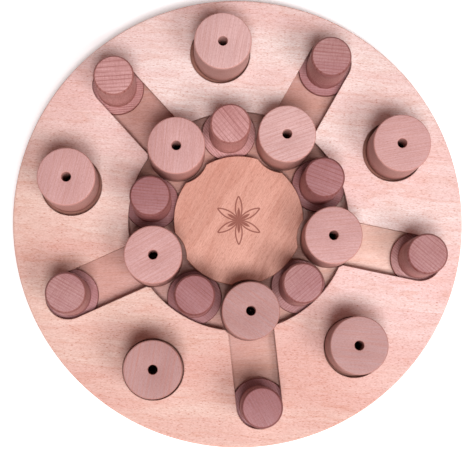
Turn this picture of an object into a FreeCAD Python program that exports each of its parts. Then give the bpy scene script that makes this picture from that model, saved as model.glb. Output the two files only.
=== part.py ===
"""Round wooden puzzle feeder board with sliding pieces and lift-out pucks.

Origin: centre of the board's underside, which rests on the floor.
Axes: +Z up, and one of the five slots runs along -Y. Units are millimetres.
"""
import FreeCAD, Part
import math
import os

Vector = FreeCAD.Vector

# Board, glued up from three layers
board_d = 340.0              # outer diameter
base_t = 8.0                 # bottom layer, whose top is the floor of every channel
channel_t = 5.5              # middle layer, where the sliders' flanges run
lip_t = 4.5                  # top layer, whose lips hold the flanges down
rim_round = 1.5              # rounding of the board's outer edges
edge_break = 0.4             # small chamfer on the edges of openings
slot_end_inset = 29.9        # from the board's rim to the centre of a slot's round end
outer_well_inset = 41.0      # from the board's rim to the centre of an outer well
first_slot_deg = -90.0       # direction of the first slot

# Sliders, each turned from one piece
flange_d = 41.0              # wide foot that runs under the lips
knob_d = 30.0                # round knob that stands up through the slot
slider_h = 49.5              # whole height, from the channel's floor
knob_chamfer = 1.4
flange_chamfer = 0.5
slider_insets = (0.1, 1.0, 4.8, 1.9, 1.8)  # from each slot's end centre to its slider

# Pucks
puck_d = 42.6
puck_h = 43.0
puck_hole_d = 7.0
puck_chamfer = 0.8
puck_foot_chamfer = 0.6
# Each outer puck's lean in its well, outwards and round the board, as shares of the room it has
outer_puck_leans = ((-0.9, -0.2), (0.9, -0.2), (0.3, -0.9), (0.5, -0.8), (-0.3, 0.4))

# Clearances
knob_gap = 2.15              # between a knob and the lip on each side of it
flange_gap = 1.3             # between a flange and the channel wall on each side of it
flange_lift_gap = 0.7        # between a flange and the lip over it
puck_gap = 1.7               # between a centred puck and its well
lean_gap = 0.3               # left where a piece stands close to its wall
ring_gap = 0.65              # between a ring slider's flange and the puck beside it

# Heights and widths that follow from the ones above
board_r = board_d / 2
channel_floor = base_t
lip_floor = base_t + channel_t
board_t = lip_floor + lip_t
flange_t = channel_t - flange_lift_gap
half_slot = knob_d / 2 + knob_gap
half_undercut = flange_d / 2 + flange_gap
well_r = puck_d / 2 + puck_gap
slot_end_at = board_r - slot_end_inset
outer_well_at = board_r - outer_well_inset

# Directions of the slots, and of the wells between them
arms = len(slider_insets)
slot_angles = [first_slot_deg + k * 360.0 / arms for k in range(arms)]
well_angles = [angle + 180.0 / arms for angle in slot_angles]


def ring_slider_radius(puck_outset):
    """Radius at which ring sliders and ring pucks stand one ring gap apart."""
    chord = (flange_d + puck_d) / 2 + ring_gap
    spread = 1 - math.cos(math.pi / arms)
    a = 2 * spread
    b = 2 * spread * puck_outset
    c = puck_outset ** 2 - chord ** 2
    return (-b + math.sqrt(b * b - 4 * a * c)) / (2 * a)


# Radii of the ring channel and of what stands in it
ring_slider_outset = flange_gap - lean_gap
well_puck_outset = puck_gap - lean_gap
ring_puck_outset = 2.65      # ring pucks stand this far outside the ring sliders
ring_slider_at = ring_slider_radius(ring_puck_outset)
ring_puck_at = ring_slider_at + ring_puck_outset
ring_well_at = ring_puck_at - well_puck_outset
ring_mid = ring_slider_at - ring_slider_outset


def place(angle, radius, z, aside=0.0):
    """Point at a radius and direction from the board's centre, and a little to its left."""
    turn = math.radians(angle)
    outwards = Vector(math.cos(turn), math.sin(turn), 0)
    leftwards = Vector(-math.sin(turn), math.cos(turn), 0)
    return outwards * radius + leftwards * aside + Vector(0, 0, z)


def cylinder(radius, height, at):
    """Upright cylinder that stands on a point."""
    return Part.makeCylinder(radius, height, at)


def layer_disc(radius, z, height):
    """Disc about the board's centre."""
    return cylinder(radius, height, Vector(0, 0, z))


def slot_cutter(angle, half_width, z, height):
    """Radial slot from the board's centre to its round outer end."""
    arm = Part.makeBox(slot_end_at, 2 * half_width, height, Vector(0, -half_width, z))
    end = cylinder(half_width, height, Vector(slot_end_at, 0, z))
    cutter = arm.fuse(end).removeSplitter()
    cutter.rotate(Vector(0, 0, 0), Vector(0, 0, 1), angle)
    return cutter


def well_cutter(angle, radius):
    """Round well through the top layer."""
    return cylinder(well_r, lip_t, place(angle, radius, lip_floor))


def edges_at(shape, z):
    """Edges that lie wholly at height z."""
    boxes = [(edge, edge.BoundBox) for edge in shape.Edges]
    return [edge for edge, box in boxes if abs(box.ZMin - z) < 0.001 and abs(box.ZMax - z) < 0.001]


def is_circle(edge, radius):
    """True for an edge on a circle of the given radius."""
    return isinstance(edge.Curve, Part.Circle) and abs(edge.Curve.Radius - radius) < 0.001


def base_plate():
    """Solid bottom layer, rounded where it meets the floor."""
    plate = layer_disc(board_r, 0, base_t)
    return plate.makeFillet(rim_round, edges_at(plate, 0))


def channel_plate():
    """Middle layer, cut as wide as the flanges that run in it."""
    plate = layer_disc(board_r, channel_floor, channel_t)
    cutters = [layer_disc(ring_mid + half_undercut, channel_floor, channel_t)]
    cutters += [slot_cutter(angle, half_undercut, channel_floor, channel_t) for angle in slot_angles]
    return plate.cut(cutters).removeSplitter()


def top_plate():
    """Top layer with the slots between its lips and the round wells."""
    plate = layer_disc(board_r, lip_floor, lip_t)
    cutters = [layer_disc(ring_mid + half_slot, lip_floor, lip_t)]
    cutters += [slot_cutter(angle, half_slot, lip_floor, lip_t) for angle in slot_angles]
    cutters += [well_cutter(angle, ring_well_at) for angle in slot_angles]
    cutters += [well_cutter(angle, outer_well_at) for angle in well_angles]
    plate = plate.cut(cutters).removeSplitter()
    openings = [edge for edge in edges_at(plate, board_t) if not is_circle(edge, board_r)]
    plate = plate.makeChamfer(edge_break, openings)
    rim = [edge for edge in edges_at(plate, board_t) if is_circle(edge, board_r)]
    return plate.makeFillet(rim_round, rim)


def hub_block():
    """Middle layer of the island inside the ring."""
    return layer_disc(ring_mid - half_undercut, channel_floor, channel_t)


def centre_disc():
    """Top of the island, scalloped by the ring wells and flush with the board."""
    disc = layer_disc(ring_mid - half_slot, lip_floor, lip_t)
    disc = disc.cut([well_cutter(angle, ring_well_at) for angle in slot_angles]).removeSplitter()
    return disc.makeChamfer(edge_break, edges_at(disc, board_t))


def puck(at):
    """Lift-out puck with a hole down its middle."""
    top = at.z + puck_h
    body = cylinder(puck_d / 2, puck_h, at)
    body = body.makeChamfer(puck_chamfer, edges_at(body, top))
    body = body.makeChamfer(puck_foot_chamfer, edges_at(body, at.z))
    body = body.cut(cylinder(puck_hole_d / 2, puck_h, at))
    mouth = [edge for edge in edges_at(body, top) if is_circle(edge, puck_hole_d / 2)]
    return body.makeChamfer(edge_break, mouth)


def slider(at):
    """Round knob on a wide flange, turned from one piece."""
    flange = cylinder(flange_d / 2, flange_t, at)
    flange = flange.makeChamfer(flange_chamfer, edges_at(flange, at.z) + edges_at(flange, at.z + flange_t))
    knob = cylinder(knob_d / 2, slider_h, at)
    knob = knob.makeChamfer(knob_chamfer, edges_at(knob, at.z + slider_h))
    return flange.fuse(knob).removeSplitter()


def all_parts():
    """Every node's name with its solid."""
    parts = {
        "base_plate": base_plate(),
        "channel_plate": channel_plate(),
        "top_plate": top_plate(),
        "hub_block": hub_block(),
        "centre_disc": centre_disc(),
    }
    for k in range(arms):
        slot, well, number = slot_angles[k], well_angles[k], k + 1
        slot_slider_at = slot_end_at - slider_insets[k]
        outset, aside = [share * well_puck_outset for share in outer_puck_leans[k]]
        parts["ring_puck_%d" % number] = puck(place(slot, ring_puck_at, channel_floor))
        parts["outer_puck_%d" % number] = puck(place(well, outer_well_at + outset, lip_floor, aside))
        parts["slot_slider_%d" % number] = slider(place(slot, slot_slider_at, channel_floor))
        parts["ring_slider_%d" % number] = slider(place(well, ring_slider_at, channel_floor))
    return parts


os.makedirs("parts", exist_ok=True)
for node, shape in all_parts().items():
    shape.exportStep("parts/%s.step" % node)
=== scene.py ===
"""Looks of the round wooden puzzle feeder board, in metres and in the frame of its solids."""

import bmesh
import bpy
import math
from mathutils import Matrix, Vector


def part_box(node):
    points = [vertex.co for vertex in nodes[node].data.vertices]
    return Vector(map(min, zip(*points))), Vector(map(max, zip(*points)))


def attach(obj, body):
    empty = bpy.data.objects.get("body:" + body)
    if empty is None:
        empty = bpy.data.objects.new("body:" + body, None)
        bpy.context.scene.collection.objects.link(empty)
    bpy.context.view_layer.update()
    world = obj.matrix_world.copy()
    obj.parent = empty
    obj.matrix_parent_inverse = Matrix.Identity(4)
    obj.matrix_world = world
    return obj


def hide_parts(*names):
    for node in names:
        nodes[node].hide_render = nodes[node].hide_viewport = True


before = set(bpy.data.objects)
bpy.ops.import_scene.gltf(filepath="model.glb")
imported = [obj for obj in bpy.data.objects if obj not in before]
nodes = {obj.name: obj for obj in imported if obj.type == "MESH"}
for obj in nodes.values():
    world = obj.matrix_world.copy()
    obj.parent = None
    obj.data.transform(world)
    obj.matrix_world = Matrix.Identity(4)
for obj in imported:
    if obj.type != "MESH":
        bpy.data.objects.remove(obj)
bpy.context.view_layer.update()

# Sizes, in metres
MM = 0.001
FLANGE_R = 20.5 * MM
FLANGE_T = 4.8 * MM
KNOB_R = 15 * MM
KNOB_CHAMFER = 1.4 * MM
FLANGE_CHAMFER = 0.5 * MM
PUCK_R = 21.3 * MM
PUCK_CHAMFER = 0.8 * MM
PUCK_FOOT_CHAMFER = 0.6 * MM
HOLE_R = 3.5 * MM
HOLE_CHAMFER = 0.4 * MM
SOFT_EDGE = 0.2 * MM
ROUND_SIDES = 128
GLUE_LEVELS = (8 * MM, 13.5 * MM)
TIMBER_STEP = 400 * MM

# Sizes that the wood's marks use, in millimetres and degrees
RIM_MM = 170
FLOWER_MM = 18.5
FLOWER_LINE_MM = 0.5
PETAL_MM = 10.5
FLOWER_TURN = 24

# Shared tones of the wood and of its painted shade, colours as 8-bit values and tints as linear shares
GLUE_BROWN = (120, 70, 50)
BURNT_BROWN = (126, 66, 54)
PORE_TINT = (0.82, 0.74, 0.70, 1)
# Painted shade: on the walls of the slots and wells, at the foot of upright faces and on the floors of the
# outer wells
CUT_WALL_SHADE_TINT = (0.52, 0.40, 0.36, 1)
FOOT_SHADE_TINT = (0.74, 0.62, 0.56, 1)
WELL_FLOOR_SHADE_TINT = (0.42, 0.32, 0.28, 1)
SANDED_ROUGHNESS = 0.5

# Light, where the floor's glow grows from near the board to far from it
WORLD_LIGHT = 0.2
WORLD_TINT = (1, 0.54, 0.46, 1)
FLOOR_GLOW = 0.34
FAR_FLOOR_GLOW = 0.5
NEAR_FLOOR = 0.4
FAR_FLOOR = 1.8

# The camera is turned this many degrees clockwise, seen from above the board
LOOK_TURN = 6.32


# Wood

def paint(red, green, blue):
    """Linear colour of an 8-bit colour."""
    return tuple(((c / 255 + 0.055) / 1.055) ** 2.4 for c in (red, green, blue)) + (1.0,)


def add_node(tree, kind, inputs=None, **settings):
    """New node with its settings and its inputs' values."""
    node = tree.nodes.new("ShaderNode" + kind)
    for key, value in settings.items():
        setattr(node, key, value)
    for key, value in (inputs or {}).items():
        connect(tree, node.inputs[key], value)
    return node


def connect(tree, socket, value):
    """Link a socket to an output, or set its value."""
    if isinstance(value, bpy.types.NodeSocket):
        tree.links.new(value, socket)
    else:
        socket.default_value = value


def calc(tree, operation, first, second=0.0, third=0.0):
    """Result of a sum on one to three numbers."""
    node = add_node(tree, "Math", {0: first, 1: second, 2: third}, operation=operation)
    return node.outputs[0]


def vector_calc(tree, operation, first, second=(0, 0, 0)):
    """Result of a sum on one or two vectors."""
    node = add_node(tree, "VectorMath", {0: first, 1: second}, operation=operation)
    return node.outputs["Value" if operation in ("LENGTH", "DISTANCE", "DOT_PRODUCT") else "Vector"]


def blend(tree, share, under, over, mode="MIX"):
    """Colour over another by a share."""
    node = add_node(tree, "Mix", {0: share, 6: under, 7: over}, data_type="RGBA", blend_type=mode)
    return node.outputs[2]


def ease(tree, value, low, high):
    """Smooth step from 0 at low to 1 at high."""
    inputs = {"Value": value, "From Min": low, "From Max": high}
    return add_node(tree, "MapRange", inputs, interpolation_type="SMOOTHSTEP").outputs[0]


def cloud(tree, vector, stretch, detail=2.0):
    """Noise whose features are 1 over the stretch long on each axis."""
    moved = vector_calc(tree, "MULTIPLY", vector, stretch)
    inputs = {"Vector": moved, "Scale": 1.0, "Detail": detail, "Roughness": 0.55}
    return add_node(tree, "TexNoise", inputs).outputs["Fac"]


def growth_lines(tree, grain, pith, pitch, waviness):
    """Dark share of the yearly growth lines, which lie round a pith along the grain."""
    warp = cloud(tree, grain, (0.012, 0.06, 0.06), 3.0)
    across = vector_calc(tree, "MULTIPLY", vector_calc(tree, "SUBTRACT", grain, (0, *pith)), (0, 1, 1))
    radius = vector_calc(tree, "LENGTH", across)
    years = calc(tree, "DIVIDE", calc(tree, "MULTIPLY_ADD", warp, waviness, radius), pitch)
    year = calc(tree, "FRACT", years)
    ramp = add_node(tree, "ValToRGB", {"Fac": year})
    stops = ramp.color_ramp.elements
    stops[0].position, stops[0].color = 0.0, (0.75, 0.75, 0.75, 1)
    stops[1].position, stops[1].color = 1.0, (0.9, 0.9, 0.9, 1)
    for position, level in ((0.16, 0.12), (0.5, 0.05), (0.8, 0.3), (0.93, 1.0)):
        stops.new(position).color = (level, level, level, 1)
    return ramp.outputs["Color"]


def board_place(tree):
    """Place from the board's centre, in metres."""
    return add_node(tree, "TexCoord").outputs["Object"]


def flat_place(tree):
    """Place from the board's centre in millimetres, whatever its height."""
    return vector_calc(tree, "MULTIPLY", board_place(tree), (1 / MM, 1 / MM, 0))


def place_height(tree):
    """Height above the floor, in metres."""
    return add_node(tree, "SeparateXYZ", {0: board_place(tree)}).outputs["Z"]


def fading(tree, value, low, high):
    """Smooth step from 1 at low to 0 at high."""
    return calc(tree, "SUBTRACT", 1.0, ease(tree, value, low, high))


def level_share(tree):
    """Upward part of a face's direction, 1 on level faces and 0 on upright ones."""
    facing = add_node(tree, "NewGeometry").outputs["Normal"]
    return calc(tree, "ABSOLUTE", add_node(tree, "SeparateXYZ", {0: facing}).outputs["Z"])


def edge_tint(tree, side, chamfer, edge_highlight):
    """Tint by how steep a face is: upright sides darker, as end grain and as painted shade, a set tint on
    chamfers, painted highlights on the edges either side of a chamfer, and none on level faces.
    """
    ramp = add_node(tree, "ValToRGB", {"Fac": level_share(tree)})
    stops = ramp.color_ramp.elements
    stops[0].position, stops[0].color = 0.08, (*side, 1)
    stops[1].position, stops[1].color = 0.99, (1, 1, 1, 1)
    # Painted highlights on the two edges of a chamfer, between the painted shade of the sides and the
    # level faces
    steps = ((0.2, edge_highlight), (0.34, edge_highlight), (0.46, chamfer), (0.78, chamfer), (0.9, edge_highlight))
    for position, tint in steps:
        stops.new(position).color = (*tint, 1)
    return ramp.outputs["Color"]


def wood(name, pale, deep, line, grain_deg, at=(0, 0, 0), pith=(14, -55), pitch=1.7,
         waviness=5.0, line_share=0.5, fibre_share=0.3, fleck_share=0.5, fleck=(0.28, 2.6),
         side=(0.86, 0.76, 0.70), chamfer=(0.66, 0.52, 0.47), edge_highlight=(1.12, 1.08, 1.05),
         cross_share=0.0, pore_share=0.5, extra=None):
    """Solid sanded wood whose grain runs along a direction from a piece's own place.

    Pale and deep are its broad tones, and line is the colour of its growth lines. The pith, pitch and
    waviness of those lines are in millimetres. The shares say how strongly each kind of mark shows.
    """
    material = bpy.data.materials.new(name)
    material.use_nodes = True
    tree = material.node_tree
    surface = tree.nodes["Principled BSDF"]
    inputs = {"Vector": board_place(tree), "Location": at,
              "Rotation": (0, 0, math.radians(grain_deg)), "Scale": (MM, MM, MM)}
    grain = add_node(tree, "Mapping", inputs, vector_type="TEXTURE").outputs[0]

    broad = ease(tree, cloud(tree, grain, (0.006, 0.03, 0.03), 3.0), 0.32, 0.68)
    lines = growth_lines(tree, grain, pith, pitch, waviness)
    patchy = ease(tree, cloud(tree, grain, (0.01, 0.12, 0.12), 2.0), 0.3, 0.7)
    fibre = ease(tree, cloud(tree, grain, (0.05, 2.4, 2.4), 3.0), 0.35, 0.7)
    flecks = ease(tree, cloud(tree, grain, (fleck[0], fleck[1], fleck[1]), 1.0), 0.59, 0.71)
    sanding = ease(tree, cloud(tree, grain, (1.7, 0.1, 0.1), 2.0), 0.47, 0.64)
    pores = ease(tree, cloud(tree, grain, (0.7, 1.7, 1.7), 2.0), 0.36, 0.64)

    line_amount = calc(tree, "MULTIPLY", calc(tree, "MULTIPLY_ADD", patchy, 0.6, 0.4), line_share)
    colour = blend(tree, broad, paint(*pale), paint(*deep))
    colour = blend(tree, calc(tree, "MULTIPLY", lines, line_amount), colour, paint(*line))
    colour = blend(tree, calc(tree, "MULTIPLY", fibre, fibre_share), colour, paint(*line))
    colour = blend(tree, calc(tree, "MULTIPLY", flecks, fleck_share), colour,
                   blend(tree, 0.75, colour, paint(*line), "MULTIPLY"))
    colour = blend(tree, calc(tree, "MULTIPLY", sanding, cross_share), colour, paint(*line))
    colour = blend(tree, calc(tree, "MULTIPLY", pores, pore_share), colour, PORE_TINT, "MULTIPLY")
    # Tint by steepness: upright faces darker as end grain and painted shade, a tint on chamfers, painted
    # highlights on their edges
    colour = blend(tree, 1.0, colour, edge_tint(tree, side, chamfer, edge_highlight), "MULTIPLY")
    if extra:
        colour = extra(tree, colour)
    connect(tree, surface.inputs["Base Color"], colour)

    relief = calc(tree, "ADD", calc(tree, "MULTIPLY", fibre, 0.5), calc(tree, "MULTIPLY", flecks, 0.8))
    bump = add_node(tree, "Bump", {"Height": relief, "Strength": 0.35, "Distance": 0.06 * MM}, invert=True)
    connect(tree, surface.inputs["Normal"], bump.outputs[0])
    connect(tree, surface.inputs["Roughness"], calc(tree, "MULTIPLY_ADD", fibre, 0.12, SANDED_ROUGHNESS))
    surface.inputs["Specular IOR Level"].default_value = 0.3
    return material


def upright_share(tree):
    """1 on upright faces and 0 on level ones."""
    return fading(tree, level_share(tree), 0.1, 0.4)


def glue_lines(tree, colour):
    """Thin darker lines round the board's upright faces, where its layers are glued."""
    upright = upright_share(tree)
    height = place_height(tree)
    for level in GLUE_LEVELS:
        away = calc(tree, "ABSOLUTE", calc(tree, "SUBTRACT", height, level))
        share = fading(tree, away, 0.05 * MM, 0.22 * MM)
        share = calc(tree, "MULTIPLY", calc(tree, "MULTIPLY", share, upright), 0.6)
        colour = blend(tree, share, colour, paint(*GLUE_BROWN))
    return colour


def painted_light_across(tree, colour, direction, near_tint, far_tint):
    """Painted light and shade across the board along a direction, one tint towards the direction and
    another away from it.
    """
    place = board_place(tree)
    along = vector_calc(tree, "DOT_PRODUCT", place, (direction[0] / MM, direction[1] / MM, 0))
    wander = calc(tree, "MULTIPLY", cloud(tree, place, (9, 24, 24), 2.0), 60)
    along = calc(tree, "ADD", along, calc(tree, "SUBTRACT", wander, 30))
    colour = blend(tree, ease(tree, along, -30, 90), colour, near_tint, "MULTIPLY")
    backwards = calc(tree, "MULTIPLY", along, -1)
    return blend(tree, ease(tree, backwards, 20, 110), colour, far_tint, "MULTIPLY")


def shaded_cut_walls(tree, colour):
    """Painted shade on the walls of the slots and wells, which darkens them below the rim."""
    upright = upright_share(tree)
    from_centre = vector_calc(tree, "LENGTH", flat_place(tree))
    inside = fading(tree, from_centre, RIM_MM - 4, RIM_MM - 2)
    return blend(tree, calc(tree, "MULTIPLY", upright, inside), colour, CUT_WALL_SHADE_TINT, "MULTIPLY")


def foot_shade(tree, colour):
    """Painted shade on upright faces, darker towards their foot."""
    upright = upright_share(tree)
    low = fading(tree, place_height(tree), 14 * MM, 28 * MM)
    return blend(tree, calc(tree, "MULTIPLY", upright, low), colour, FOOT_SHADE_TINT, "MULTIPLY")


def well_shade_and_glue_lines(tree, colour):
    """Board's middle layer, with painted shade on the floors of the outer wells and on its cut walls, and
    glue lines.
    """
    level = calc(tree, "SUBTRACT", 1.0, upright_share(tree))
    colour = blend(tree, level, colour, WELL_FLOOR_SHADE_TINT, "MULTIPLY")
    return glue_lines(tree, shaded_cut_walls(tree, colour))


def board_shade_and_glue_lines(tree, colour):
    """Board's top layer, with painted shade across it, darker towards the lower left, painted shade on its
    cut walls, and glue lines.
    """
    colour = painted_light_across(tree, colour, (-0.65, -0.76), (0.87, 0.74, 0.67, 1), (1.0, 0.98, 0.97, 1))
    return glue_lines(tree, shaded_cut_walls(tree, colour))


def floor_light_and_glue_lines(tree, colour):
    """Board's lower layers, with painted light across them, lighter towards the right, painted shade on
    their cut walls, and glue lines.
    """
    colour = painted_light_across(tree, colour, (-0.93, 0.37), (1.0, 0.98, 0.97, 1), (1.48, 1.9, 1.95, 1))
    return glue_lines(tree, shaded_cut_walls(tree, colour))


def compass_flower(tree, colour):
    """Six-petalled flower drawn with compasses and burnt into the centre disc."""
    place = flat_place(tree)
    from_centre = vector_calc(tree, "LENGTH", place)
    share = None
    for size, line_width in ((FLOWER_MM, FLOWER_LINE_MM), (PETAL_MM, 0)):
        inside = []
        for k in range(6):
            turn = math.radians(60 * k + FLOWER_TURN)
            centre = (size * math.cos(turn), size * math.sin(turn), 0)
            inside.append(calc(tree, "SUBTRACT", size, vector_calc(tree, "DISTANCE", place, centre)))
        if line_width:
            nearest = calc(tree, "ABSOLUTE", inside[0])
            for depth in inside[1:]:
                nearest = calc(tree, "MINIMUM", nearest, calc(tree, "ABSOLUTE", depth))
            drawn = fading(tree, nearest, line_width * 0.6, line_width * 1.4)
            within = fading(tree, from_centre, size - 0.1, size + 0.2)
            share = calc(tree, "MULTIPLY", drawn, within)
        else:
            petal = calc(tree, "MINIMUM", inside[0], inside[2])
            for k in range(1, 6):
                petal = calc(tree, "MAXIMUM", petal, calc(tree, "MINIMUM", inside[k], inside[(k + 2) % 6]))
            share = calc(tree, "MAXIMUM", share, ease(tree, petal, 0.0, 0.5))
    return blend(tree, calc(tree, "MULTIPLY", share, 0.9), colour, paint(*BURNT_BROWN))


def along_grain(node, grain_deg, number):
    """Place in the timber that a piece is cut from, so that no two pieces look alike."""
    low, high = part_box(node)
    middle = (low + high) / 2
    turn = math.radians(grain_deg)
    shift = number * TIMBER_STEP
    return (middle.x - shift * math.cos(turn), middle.y - shift * math.sin(turn), 0)


def dress(node, material):
    """Give a carried-over solid its finish."""
    nodes[node].data.materials.clear()
    nodes[node].data.materials.append(material)


# Turned pieces

def select_only(piece):
    """Make a piece the only selected and active one."""
    bpy.ops.object.select_all(action="DESELECT")
    piece.select_set(True)
    bpy.context.view_layer.objects.active = piece


def pick(piece, kind, test):
    """Select in edit mode only the faces or edges that pass a test."""
    bpy.ops.mesh.select_all(action="DESELECT")
    mesh = bmesh.from_edit_mesh(piece.data)
    for item in getattr(mesh, kind):
        item.select_set(test(item))
    bmesh.update_edit_mesh(piece.data)


def at_level(z, tolerance=0.02 * MM):
    """Test for faces and edges that lie wholly at a height."""
    return lambda item: all(abs(v.co.z - z) < tolerance for v in item.verts)


def ring_at(z, radius, tolerance=0.05 * MM):
    """Test for edges on a circle of the given height and radius round the piece's own axis."""
    return lambda item: all(abs(v.co.z - z) < tolerance and abs(v.co.xy.length - radius) < tolerance
                            for v in item.verts)


def bevel_ring(piece, z, radius, size):
    """Chamfer a round edge."""
    bpy.ops.mesh.select_mode(type="EDGE")
    pick(piece, "edges", ring_at(z, radius))
    bpy.ops.mesh.bevel(offset=size, offset_type="OFFSET", segments=1, affect="EDGES")


def start_turning(name, radius, height):
    """Round blank that stands on the origin, left in edit mode."""
    bpy.ops.object.select_all(action="DESELECT")
    bpy.ops.mesh.primitive_cylinder_add(vertices=ROUND_SIDES, radius=radius, depth=height,
                                        location=(0, 0, height / 2))
    piece = bpy.context.object
    piece.name = name
    select_only(piece)
    bpy.ops.object.transform_apply(location=True, rotation=True, scale=True)
    bpy.ops.object.mode_set(mode="EDIT")
    return piece


def finish_turning(piece):
    """Close edit mode, soften every edge a little and smooth the round walls."""
    bpy.ops.mesh.select_all(action="SELECT")
    bpy.ops.mesh.normals_make_consistent(inside=False)
    bpy.ops.object.mode_set(mode="OBJECT")
    soften = piece.modifiers.new("soften", "BEVEL")
    soften.width = SOFT_EDGE
    soften.segments = 2
    soften.limit_method = "ANGLE"
    soften.angle_limit = math.radians(30)
    select_only(piece)
    bpy.ops.object.modifier_apply(modifier="soften")
    bpy.ops.object.shade_smooth_by_angle(angle=math.radians(28))
    return piece


def turn_puck(height):
    """Puck with a bored hole, chamfered at its top, foot and hole."""
    piece = start_turning("puck", PUCK_R, height)
    bpy.ops.mesh.select_mode(type="FACE")
    for z in (height, 0):
        pick(piece, "faces", at_level(z))
        bpy.ops.mesh.inset(thickness=PUCK_R - HOLE_R, depth=0)
    level_tests = (at_level(height), at_level(0))

    def in_hole(face):
        """True for the flat faces at the two ends of the hole."""
        level = any(test(face) for test in level_tests)
        return level and all(v.co.xy.length < HOLE_R * 1.05 for v in face.verts)

    pick(piece, "faces", in_hole)
    bpy.ops.mesh.bridge_edge_loops()
    bevel_ring(piece, height, PUCK_R, PUCK_CHAMFER)
    bevel_ring(piece, 0, PUCK_R, PUCK_FOOT_CHAMFER)
    bevel_ring(piece, height, HOLE_R, HOLE_CHAMFER)
    return finish_turning(piece)


def turn_slider(height):
    """Slider with a wide flange and a round knob, chamfered at its top and flange."""
    piece = start_turning("slider", FLANGE_R, FLANGE_T)
    bpy.ops.mesh.select_mode(type="FACE")
    pick(piece, "faces", at_level(FLANGE_T))
    bpy.ops.mesh.inset(thickness=FLANGE_R - KNOB_R, depth=0)
    bpy.ops.mesh.extrude_region_move(TRANSFORM_OT_translate={"value": (0, 0, height - FLANGE_T)})
    bevel_ring(piece, height, KNOB_R, KNOB_CHAMFER)
    bevel_ring(piece, FLANGE_T, FLANGE_R, FLANGE_CHAMFER)
    bevel_ring(piece, 0, FLANGE_R, FLANGE_CHAMFER)
    return finish_turning(piece)


def stand_in_for(node, pattern, material):
    """Copy of a turned pattern in a solid's place, moving with its body."""
    low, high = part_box(node)
    middle = (low + high) / 2
    piece = bpy.data.objects.new("turned_" + node, pattern.data.copy())
    bpy.context.scene.collection.objects.link(piece)
    piece.location = (middle.x, middle.y, low.z)
    select_only(piece)
    bpy.ops.object.transform_apply(location=True, rotation=False, scale=False)
    piece.data.materials.clear()
    piece.data.materials.append(material)
    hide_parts(node)
    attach(piece, node)


# The board's layers carry painted shade and light: across each layer, on cut walls, on the well floors and
# as edge highlights
board_wood = wood("board beech", (240, 230, 230), (230, 200, 200), (208, 146, 120), -LOOK_TURN - 4,
                  pith=(-40, -160), pitch=7.0, waviness=45.0, line_share=0.32, fibre_share=0.28,
                  fleck_share=1.0, fleck=(0.42, 2.4), side=(0.93, 0.86, 0.80), chamfer=(1, 0.97, 0.94),
                  pore_share=0.55, extra=board_shade_and_glue_lines)
floor_wood = wood("channel floor beech", (205, 165, 160), (190, 145, 135), (186, 122, 100), -LOOK_TURN + 2,
                  pith=(30, -90), pitch=5.0, waviness=25.0, line_share=0.35, fibre_share=0.35,
                  fleck_share=0.5, extra=floor_light_and_glue_lines)
disc_wood = wood("centre disc beech", (225, 175, 160), (205, 155, 140), (168, 100, 78), 60 - LOOK_TURN,
                 pith=(20, -80), pitch=4.5, waviness=18.0, line_share=0.35, fibre_share=0.3,
                 fleck_share=0.6, fleck=(0.34, 2.6), extra=compass_flower)
well_wood = wood("well floor beech", (230, 185, 175), (210, 160, 150), (186, 122, 100), -LOOK_TURN + 2,
                 pith=(30, -90), pitch=5.0, waviness=25.0, line_share=0.35, extra=well_shade_and_glue_lines)
for node in ("base_plate", "hub_block"):
    dress(node, floor_wood)
dress("channel_plate", well_wood)
dress("top_plate", board_wood)
dress("centre_disc", disc_wood)

# Pale and deep colour of the timber of each shade
PUCK_SHADES = {
    "light": ((220, 185, 185), (205, 170, 170)),
    "middle": ((205, 165, 165), (190, 150, 150)),
    "dark": ((180, 145, 145), (165, 130, 130)),
}
SLIDER_SHADES = {
    "light": ((210, 165, 165), (195, 145, 145)),
    "middle": ((185, 145, 145), (170, 125, 130)),
    "dark": ((170, 125, 130), (150, 105, 110)),
}
# Shade, grain direction and strength of the growth lines of each piece. The direction is in degrees,
# anticlockwise from the right as the camera sees the board.
PUCK_LOOKS = {
    "outer_puck_1": ("dark", -5, 0.2),
    "outer_puck_2": ("middle", 10, 0.2),
    "outer_puck_3": ("light", 80, 0.2),
    "outer_puck_4": ("middle", 75, 0.2),
    "outer_puck_5": ("dark", 80, 0.55),
    "ring_puck_1": ("dark", -35, 0.45),
    "ring_puck_2": ("middle", 5, 0.2),
    "ring_puck_3": ("light", 20, 0.5),
    "ring_puck_4": ("middle", 85, 0.2),
    "ring_puck_5": ("middle", 30, 0.4),
}
SLIDER_LOOKS = {
    "slot_slider_1": ("dark", -60, 0.4),
    "slot_slider_2": ("middle", -40, 0.75),
    "slot_slider_3": ("middle", -5, 0.8),
    "slot_slider_4": ("light", 5, 0.85),
    "slot_slider_5": ("middle", -30, 0.55),
    "ring_slider_1": ("middle", 40, 0.7),
    "ring_slider_2": ("dark", -20, 0.8),
    "ring_slider_3": ("light", -50, 0.7),
    "ring_slider_4": ("dark", -5, 0.8),
    "ring_slider_5": ("dark", -40, 0.65),
}


outer_low, outer_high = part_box("outer_puck_1")
puck_pattern = turn_puck(outer_high.z - outer_low.z)
# Each puck's wood has painted highlights on its edges and painted shade on its walls, darker towards the
# foot
for number, (node, (shade, grain_deg, line_share)) in enumerate(PUCK_LOOKS.items()):
    pale, deep = PUCK_SHADES[shade]
    grain = grain_deg - LOOK_TURN
    material = wood(node.replace("_", " ") + " wood", pale, deep, (176, 118, 106), grain,
                    at=along_grain(node, grain, number), pith=(62 + 6 * (number % 4), -14),
                    pitch=2.2, waviness=3.0, line_share=line_share, fibre_share=0.42, fleck_share=0.35,
                    fleck=(0.5, 3.2), chamfer=(0.98, 0.86, 0.80), edge_highlight=(1.16, 1.13, 1.1),
                    extra=foot_shade)
    stand_in_for(node, puck_pattern, material)

slider_low, slider_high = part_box("slot_slider_1")
slider_pattern = turn_slider(slider_high.z - slider_low.z)
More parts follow.
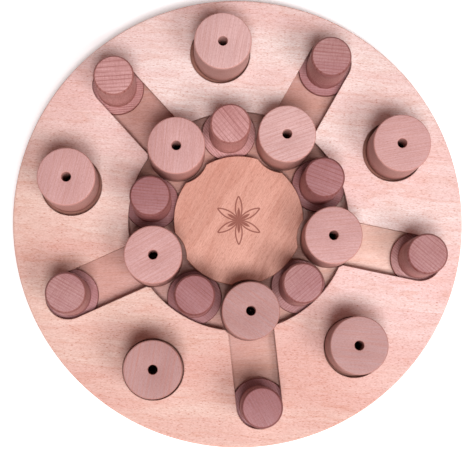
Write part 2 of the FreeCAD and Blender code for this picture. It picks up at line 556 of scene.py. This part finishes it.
# Each slider's wood has painted highlights on its edges and painted shade on its walls, darker towards the
# foot
for number, (node, (shade, grain_deg, line_share)) in enumerate(SLIDER_LOOKS.items()):
    pale, deep = SLIDER_SHADES[shade]
    grain = grain_deg - LOOK_TURN
    material = wood(node.replace("_", " ") + " wood", pale, deep, (136, 74, 68), grain,
                    at=along_grain(node, grain, number + 20), pith=(58 - 9 * (number % 4), 10),
                    pitch=1.7, waviness=1.6, line_share=line_share, fibre_share=0.42, fleck_share=0.3,
                    fleck=(0.5, 3.0), side=(0.84, 0.72, 0.66), cross_share=0.22, extra=foot_shade)
    stand_in_for(node, slider_pattern, material)

for pattern in (puck_pattern, slider_pattern):
    bpy.data.objects.remove(pattern)


# Floor, light and camera

def white_floor():
    """Pale floor that looks white round the board and keeps its shadow."""
    bpy.ops.object.select_all(action="DESELECT")
    bpy.ops.mesh.primitive_plane_add(size=6, location=(0, 0, -0.05 * MM))
    floor = bpy.context.object
    floor.name = "floor"
    material = bpy.data.materials.new("white floor")
    material.use_nodes = True
    tree = material.node_tree
    surface = tree.nodes["Principled BSDF"]
    surface.inputs["Base Color"].default_value = (0.86, 0.86, 0.88, 1)
    surface.inputs["Roughness"].default_value = 0.9
    seen = add_node(tree, "LightPath").outputs["Is Camera Ray"]
    away = vector_calc(tree, "LENGTH", add_node(tree, "TexCoord").outputs["Object"])
    level = calc(tree, "MULTIPLY_ADD", ease(tree, away, NEAR_FLOOR, FAR_FLOOR), FAR_FLOOR_GLOW, FLOOR_GLOW)
    level = calc(tree, "MULTIPLY", seen, level)
    glow = add_node(tree, "Emission", {"Color": (1, 1, 1, 1), "Strength": level})
    both = add_node(tree, "AddShader", {0: surface.outputs[0], 1: glow.outputs[0]})
    tree.links.new(both.outputs[0], tree.nodes["Material Output"].inputs["Surface"])
    floor.data.materials.append(material)


def white_world():
    """World that is white where it is seen and lights the object with a faint warm light."""
    world = bpy.data.worlds.new("studio")
    bpy.context.scene.world = world
    world.use_nodes = True
    tree = world.node_tree
    path = add_node(tree, "LightPath")
    seen = calc(tree, "MAXIMUM", path.outputs["Is Camera Ray"], path.outputs["Is Glossy Ray"])
    seen = calc(tree, "MAXIMUM", seen, path.outputs["Is Transmission Ray"])
    background = tree.nodes["Background"]
    connect(tree, background.inputs["Color"], blend(tree, seen, WORLD_TINT, (1, 1, 1, 1)))
    strength = calc(tree, "MULTIPLY_ADD", seen, 1 - WORLD_LIGHT, WORLD_LIGHT)
    connect(tree, background.inputs["Strength"], strength)


def soft_lamp(name, azimuth_deg, height_deg, distance, size, power):
    """Square soft lamp that faces the board's middle."""
    azimuth, height = math.radians(azimuth_deg), math.radians(height_deg)
    level = math.cos(height)
    place = Vector((level * math.cos(azimuth), level * math.sin(azimuth), math.sin(height)))
    data = bpy.data.lights.new(name, "AREA")
    data.size = size
    data.energy = power
    lamp = bpy.data.objects.new(name, data)
    bpy.context.scene.collection.objects.link(lamp)
    lamp.location = place * distance
    lamp.rotation_euler = place.to_track_quat("Z", "Y").to_euler()


def photo_camera():
    """Camera above the board, close to straight down."""
    data = bpy.data.cameras.new("camera")
    data.sensor_width = 36
    data.lens = 99.5
    camera = bpy.data.objects.new("camera", data)
    bpy.context.scene.collection.objects.link(camera)
    camera.location = (-0.0463, -0.1005, 0.994)
    camera.rotation_euler = (0.0958, -0.0329, math.radians(-LOOK_TURN))
    bpy.context.scene.camera = camera


white_floor()
white_world()
soft_lamp("key", -94, 68, 3.4, 1.0, 85.0)
soft_lamp("side", -50, 54, 2.2, 0.75, 22.5)
photo_camera()
bpy.context.scene.view_settings.view_transform = "Standard"
